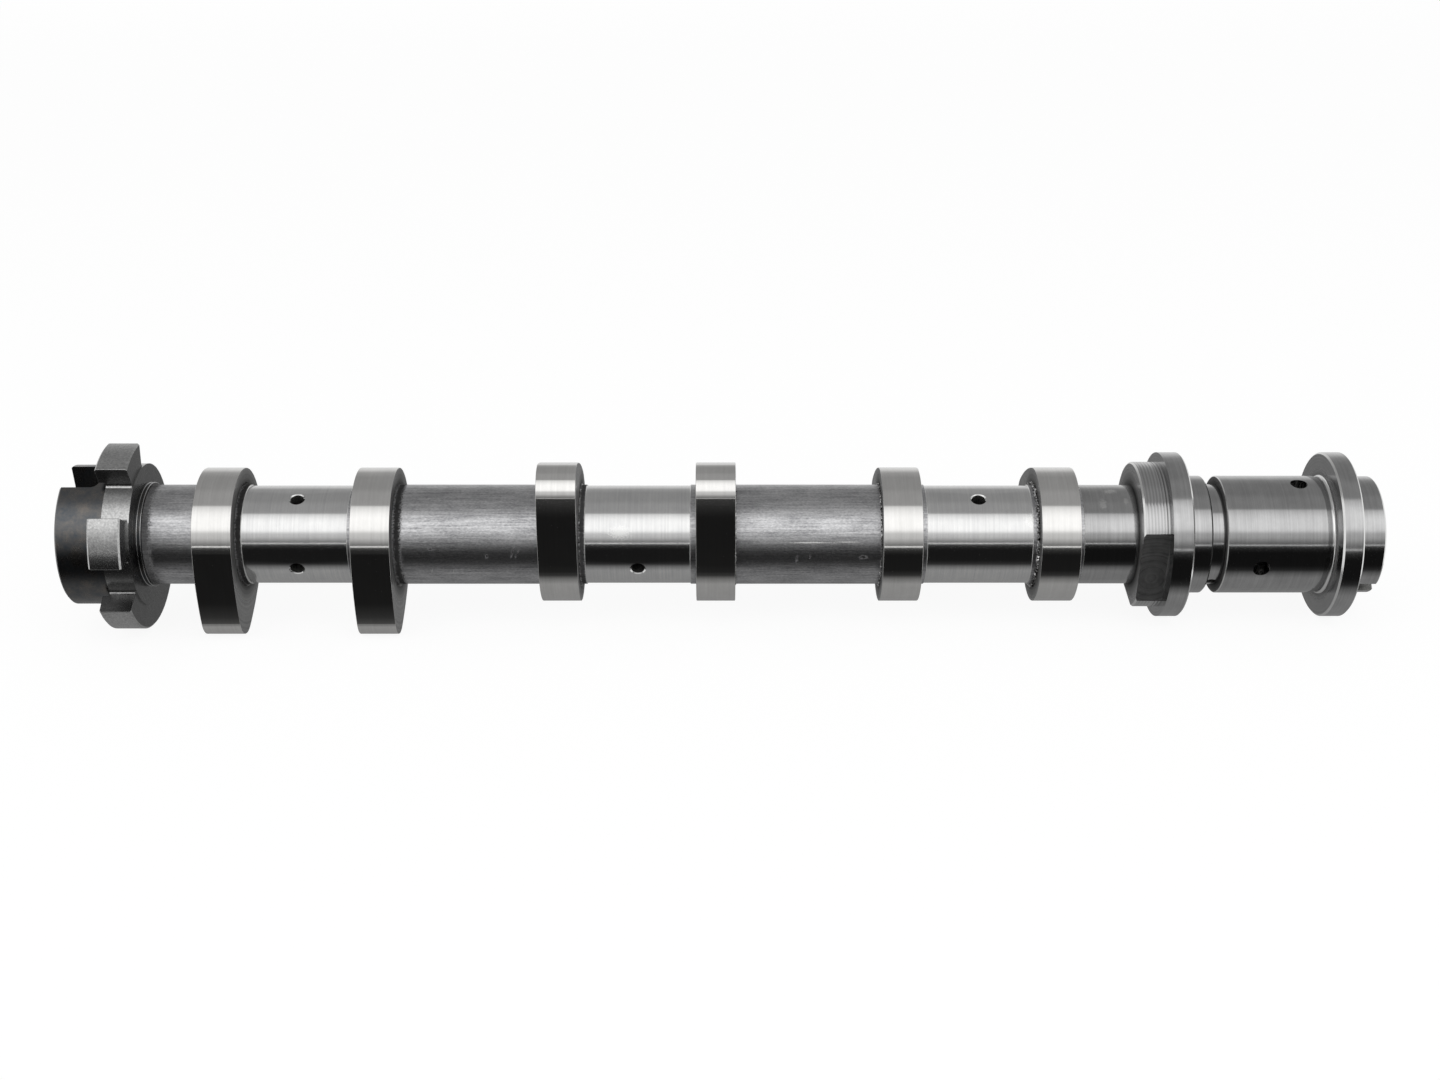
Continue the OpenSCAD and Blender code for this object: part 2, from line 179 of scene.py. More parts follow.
def makeWorld(plan):
    world = bpy.data.worlds.new("studio")
    bpy.context.scene.world = world
    world.use_nodes = True
    tree = world.node_tree
    tree.nodes.clear()
    rays = addNode(tree, "ShaderNodeLightPath")
    direct = addNode(tree, "ShaderNodeMath", {"operation": "MAXIMUM"},
                     {0: rays.outputs["Is Camera Ray"], 1: rays.outputs["Is Transmission Ray"]})
    seen = addNode(tree, "ShaderNodeMath", {"operation": "MAXIMUM"},
                   {0: direct.outputs[0], 1: rays.outputs["Is Glossy Ray"]})
    fill = addNode(tree, "ShaderNodeBackground", {"Color": linear(plan["fill"]), "Strength": 1.0})
    white = addNode(tree, "ShaderNodeBackground", {"Color": linear(plan["seen"]), "Strength": 1.0})
    mixed = addNode(tree, "ShaderNodeMixShader",
                    links={0: seen.outputs[0], 1: fill.outputs[0], 2: white.outputs[0]})
    addNode(tree, "ShaderNodeOutputWorld", links={"Surface": mixed.outputs[0]})


makeFloor(floorPlan)
makeTent(tentPlan)
makeWorld(worldPlan)
bpy.context.scene.view_settings.view_transform = "Standard"
print("floor, tent and world made")


def grain(tree, size, detail=3.0):  # noise with a grain of that size along the object's X, Y and Z
    where = addNode(tree, "ShaderNodeTexCoord").outputs["Object"]
    sized = addNode(tree, "ShaderNodeMapping", {"Scale": [1 / s for s in size]}, {"Vector": where})
    return addNode(tree, "ShaderNodeTexNoise", {"Scale": 1.0, "Detail": detail, "Roughness": 0.6},
                   {"Vector": sized.outputs[0]}).outputs[0]


def aroundAxis(tree):  # the distance from the shaft's axis, and the direction away from it
    where = addNode(tree, "ShaderNodeTexCoord").outputs["Object"]
    flat = addNode(tree, "ShaderNodeVectorMath", {"operation": "MULTIPLY", 1: (0, 1, 1)}, {0: where})
    radius = addNode(tree, "ShaderNodeVectorMath", {"operation": "LENGTH"}, {0: flat.outputs[0]})
    out = addNode(tree, "ShaderNodeVectorMath", {"operation": "NORMALIZE"}, {0: flat.outputs[0]})
    return radius.outputs["Value"], out.outputs[0]


def aimAt(degrees):  # the direction from the shaft's axis at that angle above level, on the -Y side
    angle = math.radians(degrees)
    return Vector((0, -math.cos(angle), math.sin(angle)))


# The edges of single marks are broken up by a noise of this grain and weight, and fade between two reaches
markEdge = {"grain": 0.5 * mm, "weight": 1.6, "full": 1.2, "gone": 1.75, "leastDepth": 2}


def marked(tree, marks):
    # A pattern of single marks. In millimetres and degrees, each has its station, its angle above level, its
    # distance from the axis, its half length and half width and its slant, and then the share that it covers
    if not marks:
        return None
    tone = None
    ragged = grain(tree, [markEdge["grain"]] * 3)
    for station, degrees, radius, halfLength, halfWidth, slant, level in marks:
        upright = Matrix.Rotation(math.radians(90 - degrees), 4, "X")
        turn = upright @ Matrix.Rotation(math.radians(slant), 4, "Z")
        size = Vector((halfLength, halfWidth, max(markEdge["leastDepth"], halfWidth)))
        where = addNode(tree, "ShaderNodeTexCoord").outputs["Object"]
        place = addNode(tree, "ShaderNodeMapping",
                        {"vector_type": "TEXTURE", "Rotation": tuple(turn.to_euler()), "Scale": size * mm,
                         "Location": (shaftAxis * station + aimAt(degrees) * radius) * mm}, {"Vector": where})
        reach = addNode(tree, "ShaderNodeVectorMath", {"operation": "LENGTH"}, {0: place.outputs[0]})
        uneven = addNode(tree, "ShaderNodeMath", {"operation": "MULTIPLY_ADD", 1: markEdge["weight"]},
                         {0: ragged, 2: reach.outputs["Value"]})
        share = addNode(tree, "ShaderNodeMapRange",
                        {"From Min": markEdge["full"], "From Max": markEdge["gone"],
                         "To Min": 1.0, "To Max": 0.0}, {"Value": uneven.outputs[0]}).outputs[0]
        under = {0: share} if tone is None else {0: share, 2: tone}
        tone = addNode(tree, "ShaderNodeMix", {2: 0.0, 3: level}, under).outputs[0]
    return tone


# The dark cover is nearly black and dull: old oil in the tube's stains, and painted shade where it darkens
# corners. A scuff is lighter than the metal round it. Both are rougher
coverPlan = {"oil": "#1A1918", "scuff": "#F4F4F2", "dulling": 0.4, "oilGloss": 0.05}


def steelSurface(tree, finish, pattern, clouds, height=None, stainAndShade=None, scuff=None):
    # A bare metal surface. Two patterns, one laid over the other, set its colour and roughness, and the
    # height pattern, or else the first of the two, sets its relief. A dark cover takes the share that the
    # dark
    # mask gives: old oil in stains, and painted shade in corners. Scuffs cover the share that scuff gives
    low, high = finish["spread"]
    tone = addNode(tree, "ShaderNodeMix", {0: finish["cloudShare"]}, {2: pattern, 3: clouds}).outputs[0]
    spread = addNode(tree, "ShaderNodeMapRange", {"From Min": low, "From Max": high},
                     {"Value": tone}).outputs[0]
    colour = addNode(tree, "ShaderNodeMix",
                     {"data_type": "RGBA", 6: linear(finish["dark"]), 7: linear(finish["light"])},
                     {0: spread}).outputs[2]
    rough = addNode(tree, "ShaderNodeMapRange", {"To Min": finish["rough"][0], "To Max": finish["rough"][1]},
                    {"Value": spread}).outputs[0]
    relief = addNode(tree, "ShaderNodeBump", {"Strength": 1.0, "Distance": finish["relief"]},
                     {"Height": pattern if height is None else height})
    shader = addNode(tree, "ShaderNodeBsdfPrincipled", {"Metallic": 1.0}, {"Normal": relief.outputs[0]})
    for cover, code in ((stainAndShade, coverPlan["oil"]), (scuff, coverPlan["scuff"])):
        if cover is not None:
            colour = addNode(tree, "ShaderNodeMix", {"data_type": "RGBA", 7: linear(code)},
                             {0: cover, 6: colour}).outputs[2]
            rough = addNode(tree, "ShaderNodeMath", {"operation": "MULTIPLY_ADD", 1: coverPlan["dulling"]},
                            {0: cover, 2: rough}).outputs[0]
    if stainAndShade is not None:
        bare = addNode(tree, "ShaderNodeMath", {"operation": "SUBTRACT", 0: 1.0}, {1: stainAndShade})
        tree.links.new(bare.outputs[0], shader.inputs["Metallic"])
        shader.inputs["Specular IOR Level"].default_value = coverPlan["oilGloss"]  # metal doesn't use this
    tree.links.new(colour, shader.inputs["Base Color"])
    tree.links.new(rough, shader.inputs["Roughness"])
    addNode(tree, "ShaderNodeOutputMaterial", links={"Surface": shader.outputs["BSDF"]})


# Dark smudges and strokes on the drawn skin, and last dark rings in front of lobes 1, 2 and 3 and of the
# trigger wheel, painted shade where the tube meets them
tubeStainsAndShade = [(-272.4, 6, 15, 0.9, 0.5, 10, 0.97), (-255.8, -3, 15, 0.5, 0.9, 0, 0.97),
              (-248.2, 2, 15, 2.2, 0.35, 72, 0.97), (-246.9, 0, 15, 1.9, 0.3, 66, 0.97),
              (-164.2, -6, 15, 1.3, 0.4, 82, 0.97), (-160.3, -4, 15, 0.8, 0.3, 78, 0.95),
              # The last four marks are rings of painted shade beside lobes 1, 2 and 3 and the trigger wheel
              (-144.6, -4, 15, 1.4, 0.8, 0, 0.97), (-328.9, 0, 0, 1.5, 200, 0, 0.93),
              (-282.3, 0, 0, 1.6, 200, 0, 0.93), (-227.7, 0, 0, 1.2, 200, 0, 0.85),
              (-356.8, 0, 0, 2.4, 200, 0, 0.7)]
# Light scratches where the drawn skin was rubbed, and light patches on two journals and the front shank
tubeScuffs = [(-272.4, -24, 15, 1.1, 0.25, 75, 0.5), (-266.0, -24, 15, 0.9, 0.2, 80, 0.5),
              (-160.5, 13.5, 15, 8.0, 0.3, 0, 0.9), (-149.5, 14, 15, 4.5, 0.25, 0, 0.8)]
journalScuffs = [(-216.6, 24, 14.7, 4.0, 2.4, 0, 0.5), (-95.4, 39, 14.7, 1.8, 2.4, 0, 0.5)]
shankScuffs = [(-70.6, 82, 14.9, 2.6, 1.6, 20, 0.35), (-73.5, 60, 14.9, 1.4, 2.4, 0, 0.25),
               (-66.5, 64, 14.9, 1.0, 1.6, 0, 0.25)]
# Steel ground to size: smooth and bright, with fine lines that run round the shaft. Real grinding lines are
# finer than a pixel, so they are drawn as coarse as 0.5 to 0.7 mm
journalFinish = {"light": "#D4D4D3", "dark": "#C6C6C6", "rough": (0.13, 0.11), "relief": 0.006 * mm,
                 "spread": (0.34, 0.66), "line": 0.5 * mm, "lineLength": 30 * mm, "cloud": 6 * mm,
                 "cloudShare": 0.45}
# The lobes are ground finer than the journals, so their bands have sharper edges
lobeFinish = dict(journalFinish, light="#D8D7D5", dark="#CCCBC9", rough=(0.09, 0.08), relief=0.004 * mm,
                  line=0.7 * mm)
# The front piece is of a darker steel, also where it is ground
frontFinish = dict(journalFinish, light="#B0B0B0", dark="#9E9E9E", rough=(0.12, 0.10), line=0.6 * mm)
# Chamfers and other turned edges get a lighter copy of the ground steel, a painted highlight, so they show as
# thin light lines
highlightEdgeFinish = dict(journalFinish, light="#E2E2E1", dark="#D4D4D3", rough=(0.18, 0.14), line=0.6 * mm)
# Steel turned to size, not ground: the feed lines are coarser and its bands are softer
turnedFinish = dict(journalFinish, light="#B4B4B4", dark="#9E9E9E", rough=(0.14, 0.11), relief=0.010 * mm,
                    line=0.6 * mm)


def makeGroundSteel(name, finish, scuffs=()):
    material, tree = newMaterial(name)
    lines = grain(tree, (finish["line"], finish["lineLength"], finish["lineLength"]))
    clouds = grain(tree, [finish["cloud"]] * 3)
    steelSurface(tree, finish, lines, clouds, scuff=marked(tree, scuffs))
    return material


# Steel tube as it left the drawing die: a grey skin with streaks along the shaft, mottled, with darker stains
drawnFinish = {"light": "#C6C6C7", "dark": "#909092", "rough": (0.38, 0.29), "relief": 0.065 * mm,
               "spread": (0.40, 0.60), "streak": (16 * mm, 0.5 * mm, 0.5 * mm), "streakDetail": 4.0,
               "mottle": (0.8 * mm, 0.4 * mm, 0.4 * mm), "mottleShare": 0.5, "mottleHeight": 0.6,
               "stain": (9 * mm, 5 * mm, 5 * mm), "cloudShare": 0.25}


def makeDrawnSteel(name, finish):
    material, tree = newMaterial(name)
    streaks = grain(tree, finish["streak"], finish["streakDetail"])
    mottle = grain(tree, finish["mottle"])
    stains = grain(tree, finish["stain"])
    skin = addNode(tree, "ShaderNodeMix", {0: finish["mottleShare"]}, {2: streaks, 3: mottle}).outputs[0]
    height = addNode(tree, "ShaderNodeMix", {0: finish["mottleHeight"]}, {2: streaks, 3: mottle}).outputs[0]
    steelSurface(tree, finish, skin, stains, height, marked(tree, tubeStainsAndShade), marked(tree, tubeScuffs))
    return material


# Sintered steel, pressed from powder: an even grey with a fine speckle of pores. Real pores are far finer
# than a pixel, so the speckle is drawn with a grain of 0.6 mm
sinteredFinish = {"light": "#C6C6C5", "dark": "#949494", "rough": (0.26, 0.21), "relief": 0.006 * mm,
                  "spread": (0.3, 0.7), "pore": 0.6 * mm, "cloud": 5 * mm, "cloudShare": 0.2}
# The side of the wheel and the flanks of its teeth are left as sintered, in a darker copy: a painted shade
shadedWebFinish = dict(sinteredFinish, light="#757575", dark="#545454", rough=(0.32, 0.25))
# Torn metal: rough, with bright and dark grains side by side
tornFinish = dict(sinteredFinish, light="#E0E0E0", dark="#3C3A38", rough=(0.45, 0.3), spread=(0.42, 0.58))


def makeSinteredSteel(name, finish):
    material, tree = newMaterial(name)
    pores = grain(tree, [finish["pore"]] * 3)
    clouds = grain(tree, [finish["cloud"]] * 3)
    steelSurface(tree, finish, pores, clouds)
    return material


# Steel blackened by heat: a thin dark oxide skin with brownish smudges
blackenedFinish = {"light": "#726D68", "dark": "#4A5158", "rough": (0.33, 0.24), "relief": 0.01 * mm,
                   "spread": (0.3, 0.7), "smudge": 4 * mm, "smudgeDetail": 5.0, "speck": 0.8 * mm,
                   "cloudShare": 0.25}
# The walls of drilled holes are rough and dark with oil
drilledFinish = dict(blackenedFinish, light="#A2A29F", dark="#4A4A4A", rough=(0.6, 0.45))


def makeBlackenedSteel(name, finish):
    material, tree = newMaterial(name)
    smudges = grain(tree, [finish["smudge"]] * 3, finish["smudgeDetail"])
    specks = grain(tree, [finish["speck"]] * 3)
    steelSurface(tree, finish, smudges, specks, specks)
    return material


# A face that the lathe tool crossed: rings round the axis, so light fans out over it from the middle. Real
# rings are too fine to show, and are drawn as coarse as 0.45 mm. Near the shaft it is darkened, a painted
# shade of the corner: corner gives the radius inside which the painted shade is deepest, the radius where it
# ends, and the share that it darkens
facedFinish = {"light": "#B4B4B4", "dark": "#949494", "rough": (0.20, 0.15), "relief": 0.012 * mm,
               "spread": (0.3, 0.7), "ring": 0.45 * mm, "cloud": 6 * mm, "cloudShare": 0.3,
               "corner": (15 * mm, 21 * mm, 0.93)}
# The side faces of the lobes are left as hardened, and so are duller
sideFinish = dict(facedFinish, light="#A6A6A5", dark="#848484", rough=(0.26, 0.20), ring=0.8 * mm)


def makeFacedSteel(name, finish):
    material, tree = newMaterial(name)
    radius = aroundAxis(tree)[0]
    rings = addNode(tree, "ShaderNodeTexNoise",
                    {"noise_dimensions": "1D", "Scale": 1 / finish["ring"], "Detail": 3.0}, {"W": radius})
    clouds = grain(tree, [finish["cloud"]] * 3)
    inner, outer, depth = finish["corner"]
    # A painted shade that darkens the face towards the shaft
    oil = addNode(tree, "ShaderNodeMapRange",
                  {"From Min": inner, "From Max": outer, "To Min": depth, "To Max": 0.0}, {"Value": radius})
    steelSurface(tree, finish, rings.outputs[0], clouds, stainAndShade=oil.outputs[0])
    return material


# A face ground with the rim of a cup wheel, which crosses it and leaves streaks that run out from the middle
rubbedFinish = {"light": "#BCBCBC", "dark": "#9C9C9C", "rough": (0.26, 0.20), "relief": 0.02 * mm,
                "spread": (0.3, 0.7), "streaks": 26.0, "streakLength": 9 * mm, "cloud": 5 * mm,
                "cloudShare": 0.35}
# The rear end face is worn bright through its oxide, and keeps a brown tint
wornFinish = dict(rubbedFinish, light="#ABA7A4", dark="#6E6A68", streaks=44.0, streakLength=5 * mm,
                  cloud=8 * mm)


def makeRubbedSteel(name, finish):
    material, tree = newMaterial(name)
    radius, out = aroundAxis(tree)
    across = addNode(tree, "ShaderNodeVectorMath", {"operation": "SCALE", "Scale": finish["streaks"]},
                     {0: out})
    along = addNode(tree, "ShaderNodeMath", {"operation": "DIVIDE", 1: finish["streakLength"]}, {0: radius})
    shift = addNode(tree, "ShaderNodeCombineXYZ", links={"X": along.outputs[0]})
    place = addNode(tree, "ShaderNodeVectorMath", {"operation": "ADD"},
                    {0: across.outputs[0], 1: shift.outputs[0]})
    streaks = addNode(tree, "ShaderNodeTexNoise", {"Scale": 1.0, "Detail": 3.0}, {"Vector": place.outputs[0]})
    clouds = grain(tree, [finish["cloud"]] * 3)
    steelSurface(tree, finish, streaks.outputs[0], clouds)
    return material


# A milled face: arcs round one point of it, left by the edge of an end mill. The real arcs are finer, and
# are drawn about a millimetre apart so that they show
milledFinish = {"light": "#C4C4C4", "dark": "#7C7C7C", "rough": (0.46, 0.36), "relief": 0.02 * mm,
                "spread": (0.3, 0.7), "arc": 1.1 * mm, "centre": (-59.5 * mm, -17.5 * mm, -6.6 * mm),
                "cloud": 3 * mm, "cloudShare": 0.4}


def makeMilledSteel(name, finish):
    material, tree = newMaterial(name)
    where = addNode(tree, "ShaderNodeTexCoord").outputs["Object"]
    reach = addNode(tree, "ShaderNodeVectorMath", {"operation": "DISTANCE", 1: finish["centre"]}, {0: where})
    arcs = addNode(tree, "ShaderNodeTexNoise",
                   {"noise_dimensions": "1D", "Scale": 1 / finish["arc"], "Detail": 2.0},
                   {"W": reach.outputs["Value"]})
    clouds = grain(tree, [finish["cloud"]] * 3)
    steelSurface(tree, finish, arcs.outputs[0], clouds)
    return material


# The collar was turned with a coarse feed, so ridges run round it that catch the light one by one
ridgedFinish = dict(turnedFinish, pitch=0.95 * mm, relief=0.03 * mm, shades=(0.25, 0.75), cloudShare=0.35)


def makeRidgedSteel(name, finish):
    material, tree = newMaterial(name)
    where = addNode(tree, "ShaderNodeTexCoord").outputs["Object"]
    along = addNode(tree, "ShaderNodeSeparateXYZ", links={0: where}).outputs["X"]
    turns = addNode(tree, "ShaderNodeMath", {"operation": "MULTIPLY", 1: 2 * math.pi / finish["pitch"]},
                    {0: along})
    ridges = addNode(tree, "ShaderNodeMath", {"operation": "SINE"}, {0: turns.outputs[0]}).outputs[0]
    lines = grain(tree, (finish["line"], finish["lineLength"], finish["lineLength"]))
    low, high = finish["shades"]
    shade = addNode(tree, "ShaderNodeMapRange",
                    {"From Min": -1.0, "From Max": 1.0, "To Min": low, "To Max": high}, {"Value": ridges})
    steelSurface(tree, finish, shade.outputs[0], lines, ridges)
    return material


groundJournal = makeGroundSteel("groundJournal", journalFinish, journalScuffs)
groundLobe = makeGroundSteel("groundLobe", lobeFinish)
turnedSteel = makeGroundSteel("turnedSteel", turnedFinish)
frontGround = makeGroundSteel("frontGround", frontFinish, shankScuffs)
highlightEdge = makeGroundSteel("highlightEdge", highlightEdgeFinish)
ridgedSteel = makeRidgedSteel("ridgedSteel", ridgedFinish)
drawnSteel = makeDrawnSteel("drawnSteel", drawnFinish)
sinteredSteel = makeSinteredSteel("sinteredSteel", sinteredFinish)
shadedWeb = makeSinteredSteel("shadedWeb", shadedWebFinish)
tornSteel = makeSinteredSteel("tornSteel", tornFinish)
blackenedSteel = makeBlackenedSteel("blackenedSteel", blackenedFinish)
drilledSteel = makeBlackenedSteel("drilledSteel", drilledFinish)
facedSteel = makeFacedSteel("facedSteel", facedFinish)
lobeSide = makeFacedSteel("lobeSide", sideFinish)
rubbedSteel = makeRubbedSteel("rubbedSteel", rubbedFinish)
wornSteel = makeRubbedSteel("wornSteel", wornFinish)
milledSteel = makeMilledSteel("milledSteel", milledFinish)
print("materials made")


def copyNode(name):  # a merged copy of a CAD node, which keeps the exact normals of its round surfaces
    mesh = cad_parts[name].data.copy()
    corners = [part for normal in mesh.corner_normals for part in normal.vector]
    mesh.attributes.new("keptNormal", "FLOAT_VECTOR", "CORNER").data.foreach_set("vector", corners)
    bm = bmesh.new()
    bm.from_mesh(mesh)
    bmesh.ops.remove_doubles(bm, verts=bm.verts, dist=mergeDistance)
    bpy.data.meshes.remove(mesh)
    return bm


def axisRadius(place):  # how far a place is from the shaft's axis, in millimetres
    return math.hypot(place.y, place.z) / mm


def slanted(forward):  # true for a chamfer, whose normal points partly along the shaft
    return 0.25 < abs(forward) < 0.95


def bevelEdges(bm, width, chosen):  # rounds the chosen sharp edges a little, so that they catch the light
    edges = [e for e in bm.edges if e.is_manifold and e.calc_face_angle() > sharpEdge and chosen(e)]
    done = bmesh.ops.bevel(bm, geom=edges, offset=width, offset_type="OFFSET", affect="EDGES", segments=2,
                           profile=0.5, material=-1, clamp_overlap=True)
    bm.normal_update()
    kept = bm.loops.layers.float_vector["keptNormal"]
    for face in done["faces"]:
        for loop in face.loops:
            loop[kept] = loop.vert.normal


def placePiece(bm, name, node, materials, choose):
    # Links the piece and sets it where the CAD node was. choose gives a face its material by its station and
    # radius, by how far its normal points forward and outward, and by how far its plane is from the origin
    for face in bm.faces:
        face.smooth = True
        centre = face.calc_center_median()
        outward = Vector((0, centre.y, centre.z)).normalized().dot(face.normal)
        reach = centre.dot(face.normal) / mm
        chosen = choose(centre.x / mm, axisRadius(centre), face.normal.x, outward, reach)
        face.material_index = materials.index(chosen)
    piece = linkMesh(bm, name)
    kept = piece.data.attributes["keptNormal"]
    piece.data.normals_split_custom_set([item.vector.normalized() for item in kept.data])
    piece.data.attributes.remove(piece.data.attributes["keptNormal"])
    for material in materials:
        piece.data.materials.append(material)
    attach(piece, "root")
    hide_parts(node)


# The tube's outside lies beyond the radius outsideFrom, and where it lies beyond drawnFrom it keeps its drawn
# skin. Its diameter changes at the stations in steps
tubePlan = {"drawnFrom": 14.95, "outsideFrom": 14.2, "shankFrom": -79.5, "edge": 0.12 * mm,
            "steps": (-357.4, -328.05, -296.95, -226.85, -195.75, -125.65, -94.55, -79.35),
            "stepReach": 0.3, "stepMatch": 0.01}


def stepDistance(x):
    return min(abs(x - step) for step in tubePlan["steps"])


def chooseTube(x, radius, forward, outward, reach):
    # Chamfers at the steps take the lighter edge steel, a painted highlight
    if slanted(forward) and stepDistance(x) < tubePlan["stepReach"]:
        return highlightEdge
    if radius > tubePlan["drawnFrom"] and outward > facing:
        return drawnSteel
    if radius > tubePlan["outsideFrom"] and (outward > leaning or abs(forward) > facing):
        return frontGround if x > tubePlan["shankFrom"] else groundJournal
    return drilledSteel


def makeTube(plan):
    bm = copyNode("shaft_tube")
    bevelEdges(bm, plan["edge"], lambda e: all(
        axisRadius(v.co) > plan["outsideFrom"] and stepDistance(v.co.x / mm) < plan["stepMatch"]
        for v in e.verts))
    placePiece(bm, "shaftTube", "shaft_tube",
               [drawnSteel, groundJournal, frontGround, highlightEdge, drilledSteel], chooseTube)


makeTube(tubePlan)
print("tube made")

lobePlan = {"edge": 0.15 * mm, "rimFrom": 19.0}


def chooseLobe(x, radius, forward, outward, reach):
    if abs(forward) > facing:
        return lobeSide
    return groundLobe if radius > lobePlan["rimFrom"] else drilledSteel


def makeLobe(number, plan):
    bm = copyNode(f"cam_lobe_{number}")
    bevelEdges(bm, plan["edge"], lambda e: min(axisRadius(v.co) for v in e.verts) > plan["rimFrom"])
    placePiece(bm, f"camLobe{number}", f"cam_lobe_{number}",
               [groundLobe, lobeSide, drilledSteel], chooseLobe)


for number in range(1, 7):
    makeLobe(number, lobePlan)
print("lobes made")

wheelPlan = {"edge": 0.14 * mm, "edgesFrom": 21.6}


def chooseWheel(x, radius, forward, outward, reach):
    toothFlank = max(abs(forward), abs(outward)) < leaning
    # The side facing +X and the flanks of the teeth take the darker copy, a painted shade
    return shadedWeb if forward > facing or toothFlank else sinteredSteel


def makeWheel(plan):
    bm = copyNode("trigger_wheel")
    bevelEdges(bm, plan["edge"], lambda e: min(axisRadius(v.co) for v in e.verts) > plan["edgesFrom"])
    placePiece(bm, "triggerWheel", "trigger_wheel",
               [sinteredSteel, shadedWeb], chooseWheel)


makeWheel(wheelPlan)
print("trigger wheel made")

rearPlan = {"edge": 0.15 * mm, "endX": -381.1, "endReach": 0.2, "edgeReach": 0.1, "shankX": -360.0,
            "centreHole": 6.1}


def chooseRear(x, radius, forward, outward, reach):
    if x < rearPlan["endX"] + rearPlan["endReach"] and forward < -facing:
        return wornSteel
    if x > rearPlan["shankX"] and outward > facing:
        return turnedSteel
    if radius < rearPlan["centreHole"]:
        return facedSteel
    return blackenedSteel


def makeRear(plan):
    bm = copyNode("rear_drive_piece")
    rimEnd = (plan["endX"] + plan["edgeReach"]) * mm
    bevelEdges(bm, plan["edge"], lambda e: max(v.co.x for v in e.verts) < rimEnd)
    placePiece(bm, "rearDrivePiece", "rear_drive_piece",
               [blackenedSteel, wornSteel, turnedSteel, facedSteel], chooseRear)


makeRear(rearPlan)
print("rear piece made")

# Stations and radii where the finish changes, and the shares of its normal from which a face counts as
# square to the shaft or as round it
frontPlan = {"journal": (-49.2, -8.6), "journalFrom": 17.4, "collar": (-63.3, -55.4), "collarRim": 21.65,
             "flats": (18.4, 16.8), "pilotEnd": 8.7, "near": 0.1, "chamferFrom": 14, "chamferOut": 0.2,
             "faceFrom": 14.9, "turnedFrom": 15, "square": 0.97, "round": 0.98, "endwise": 0.1,
             "bore": 5.2, "boreMatch": 0.02, "boreEnd": -26.0, "threadRoot": 5.98}


def chooseFront(x, radius, forward, outward, reach):
    plan = frontPlan
    onCollar = plan["collar"][0] < x < plan["collar"][1]
    if onCollar and min(abs(reach - flat) for flat in plan["flats"]) < plan["near"]:
        return milledSteel
    # Chamfers take the lighter edge steel, a painted highlight
    if slanted(forward) and radius > plan["chamferFrom"] and outward > plan["chamferOut"]:
        return highlightEdge
    if x > plan["pilotEnd"] - plan["near"]:
        return rubbedSteel
    if abs(forward) > plan["square"]:
        behind = x < plan["collar"][0] + plan["near"]
        return facedSteel if behind or radius > plan["faceFrom"] else drilledSteel
    if onCollar:
        return ridgedSteel if outward > plan["round"] and radius > plan["collarRim"] else facedSteel
    if outward > facing and plan["journal"][0] < x < plan["journal"][1] and radius > plan["journalFrom"]:
        return frontGround
    if outward > leaning or (abs(forward) > plan["endwise"] and radius > plan["turnedFrom"]):
        return turnedSteel
    return drilledSteel


def makeFront(plan):
    bm = copyNode("front_journal_piece")
    for vert in bm.verts:  # the bore's wall goes back to the thread's root, so the ridge stands out of it
        radius = axisRadius(vert.co)
        if abs(radius - plan["bore"]) < plan["boreMatch"] and vert.co.x / mm > plan["boreEnd"]:
            vert.co.y *= plan["threadRoot"] / radius
            vert.co.z *= plan["threadRoot"] / radius
    placePiece(bm, "frontJournalPiece", "front_journal_piece",
               [turnedSteel, frontGround, facedSteel, rubbedSteel, ridgedSteel, milledSteel, drilledSteel,
                highlightEdge], chooseFront)


makeFront(frontPlan)
print("front piece made")


def spinRing(bm, station, radius, thickness, sides, turns):
    # Spins a small circle round the shaft's axis. Its sizes are in millimetres
    made = bmesh.ops.create_circle(bm, segments=sides, radius=thickness / 2 * mm)
    rim = [edge for edge in bm.edges if edge.verts[0] in made["verts"]]
    bmesh.ops.transform(bm, matrix=Matrix.Rotation(math.pi / 2, 4, "X"), verts=made["verts"])
    bmesh.ops.translate(bm, vec=(station * mm, 0, radius * mm), verts=made["verts"])
    bmesh.ops.spin(bm, geom=[*made["verts"], *rim], cent=(0, 0, 0), axis=shaftAxis, angle=2 * math.pi,
                   steps=turns, use_merge=True)


def addPiece(bm, name, material):  # a piece that the solids don't have
    bmesh.ops.recalc_face_normals(bm, faces=bm.faces)
    piece = linkMesh(bm, name)
    piece.data.materials.append(material)
    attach(piece, "root")


# Metal torn up where a lobe was pressed on: a ragged ring round the joint. Each has its place along the
# shaft, its mean radius, how thick it is and how far it strays
burrPlan = {"turns": 220, "sides": 6, "seed": 7,
            "rings": {"burrLobe6": (-93.05, 15.5, 0.60, 0.36), "burrLobe5": (-139.25, 15.2, 0.30, 0.20),
                      "burrLobe4": (-182.2, 15.15, 0.20, 0.14), "burrLobe3": (-228.5, 15.1, 0.18, 0.12)}}


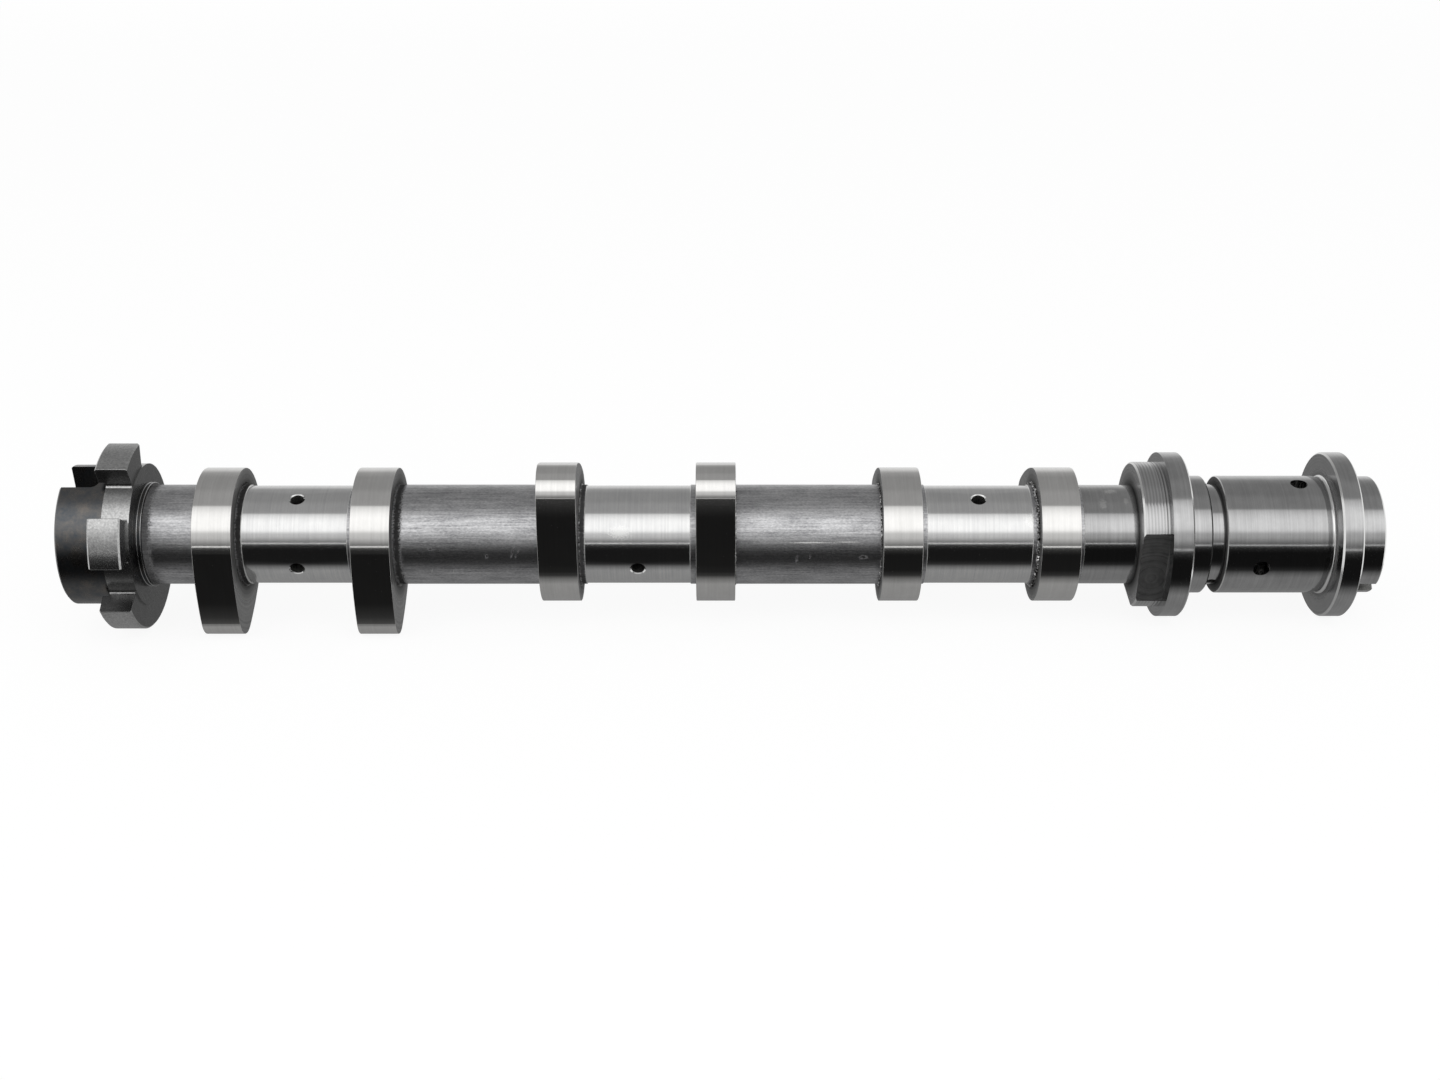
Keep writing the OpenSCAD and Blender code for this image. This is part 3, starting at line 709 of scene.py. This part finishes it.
def makeBurrs(plan):
    draws = random.Random(plan["seed"])
    for name, (station, radius, thickness, stray) in plan["rings"].items():
        bm = bmesh.new()
        spinRing(bm, station, radius, thickness, plan["sides"], plan["turns"])
        bmesh.ops.remove_doubles(bm, verts=bm.verts, dist=mergeDistance)
        for vert in bm.verts:
            out = Vector((0, vert.co.y, vert.co.z)).normalized()
            vert.co += out * draws.uniform(-stray, stray) * mm + shaftAxis * draws.uniform(-stray, stray) * mm
        addPiece(bm, name, tornSteel)


makeBurrs(burrPlan)
print("burrs made")

# The M12 thread in the front bore: one ridge wound along the wall of the bore
threadPlan = {"pitch": 1.5, "root": 5.98, "crest": 5.25, "halfBase": 0.62, "halfCrest": 0.14, "start": 6.6,
              "turns": 15, "steps": 48, "backRoot": 6.3}


def makeThread(plan):
    bm = bmesh.new()
    corners = [(plan["backRoot"], -plan["halfBase"]), (plan["root"], -plan["halfBase"]),
               (plan["crest"], -plan["halfCrest"]), (plan["crest"], plan["halfCrest"]),
               (plan["root"], plan["halfBase"]), (plan["backRoot"], plan["halfBase"])]
    verts = [bm.verts.new(((plan["start"] + along) * mm, 0, radius * mm)) for radius, along in corners]
    face = bm.faces.new(verts)
    bmesh.ops.spin(bm, geom=[face], cent=(0, 0, 0), axis=shaftAxis, angle=-2 * math.pi * plan["turns"],
                   steps=plan["steps"] * plan["turns"], dvec=(-plan["pitch"] * mm / plan["steps"], 0, 0))
    # The thread ridge takes the lighter edge steel, a painted highlight
    addPiece(bm, "boltThread", highlightEdge)


makeThread(threadPlan)
print("thread made")

# Two turned beads on the rear piece, where it comes out of the trigger wheel. They show as thin light arcs
beadPlan = {"stations": (-357.6, -358.7), "radius": 15.6, "thickness": 0.36, "sides": 8, "turns": 128}


def makeBeads(plan):
    bm = bmesh.new()
    for station in plan["stations"]:
        spinRing(bm, station, plan["radius"], plan["thickness"], plan["sides"], plan["turns"])
    bmesh.ops.remove_doubles(bm, verts=bm.verts, dist=mergeDistance)
    for face in bm.faces:
        face.smooth = True
    addPiece(bm, "shoulderBeads", turnedSteel)


makeBeads(beadPlan)
print("shoulder beads made")
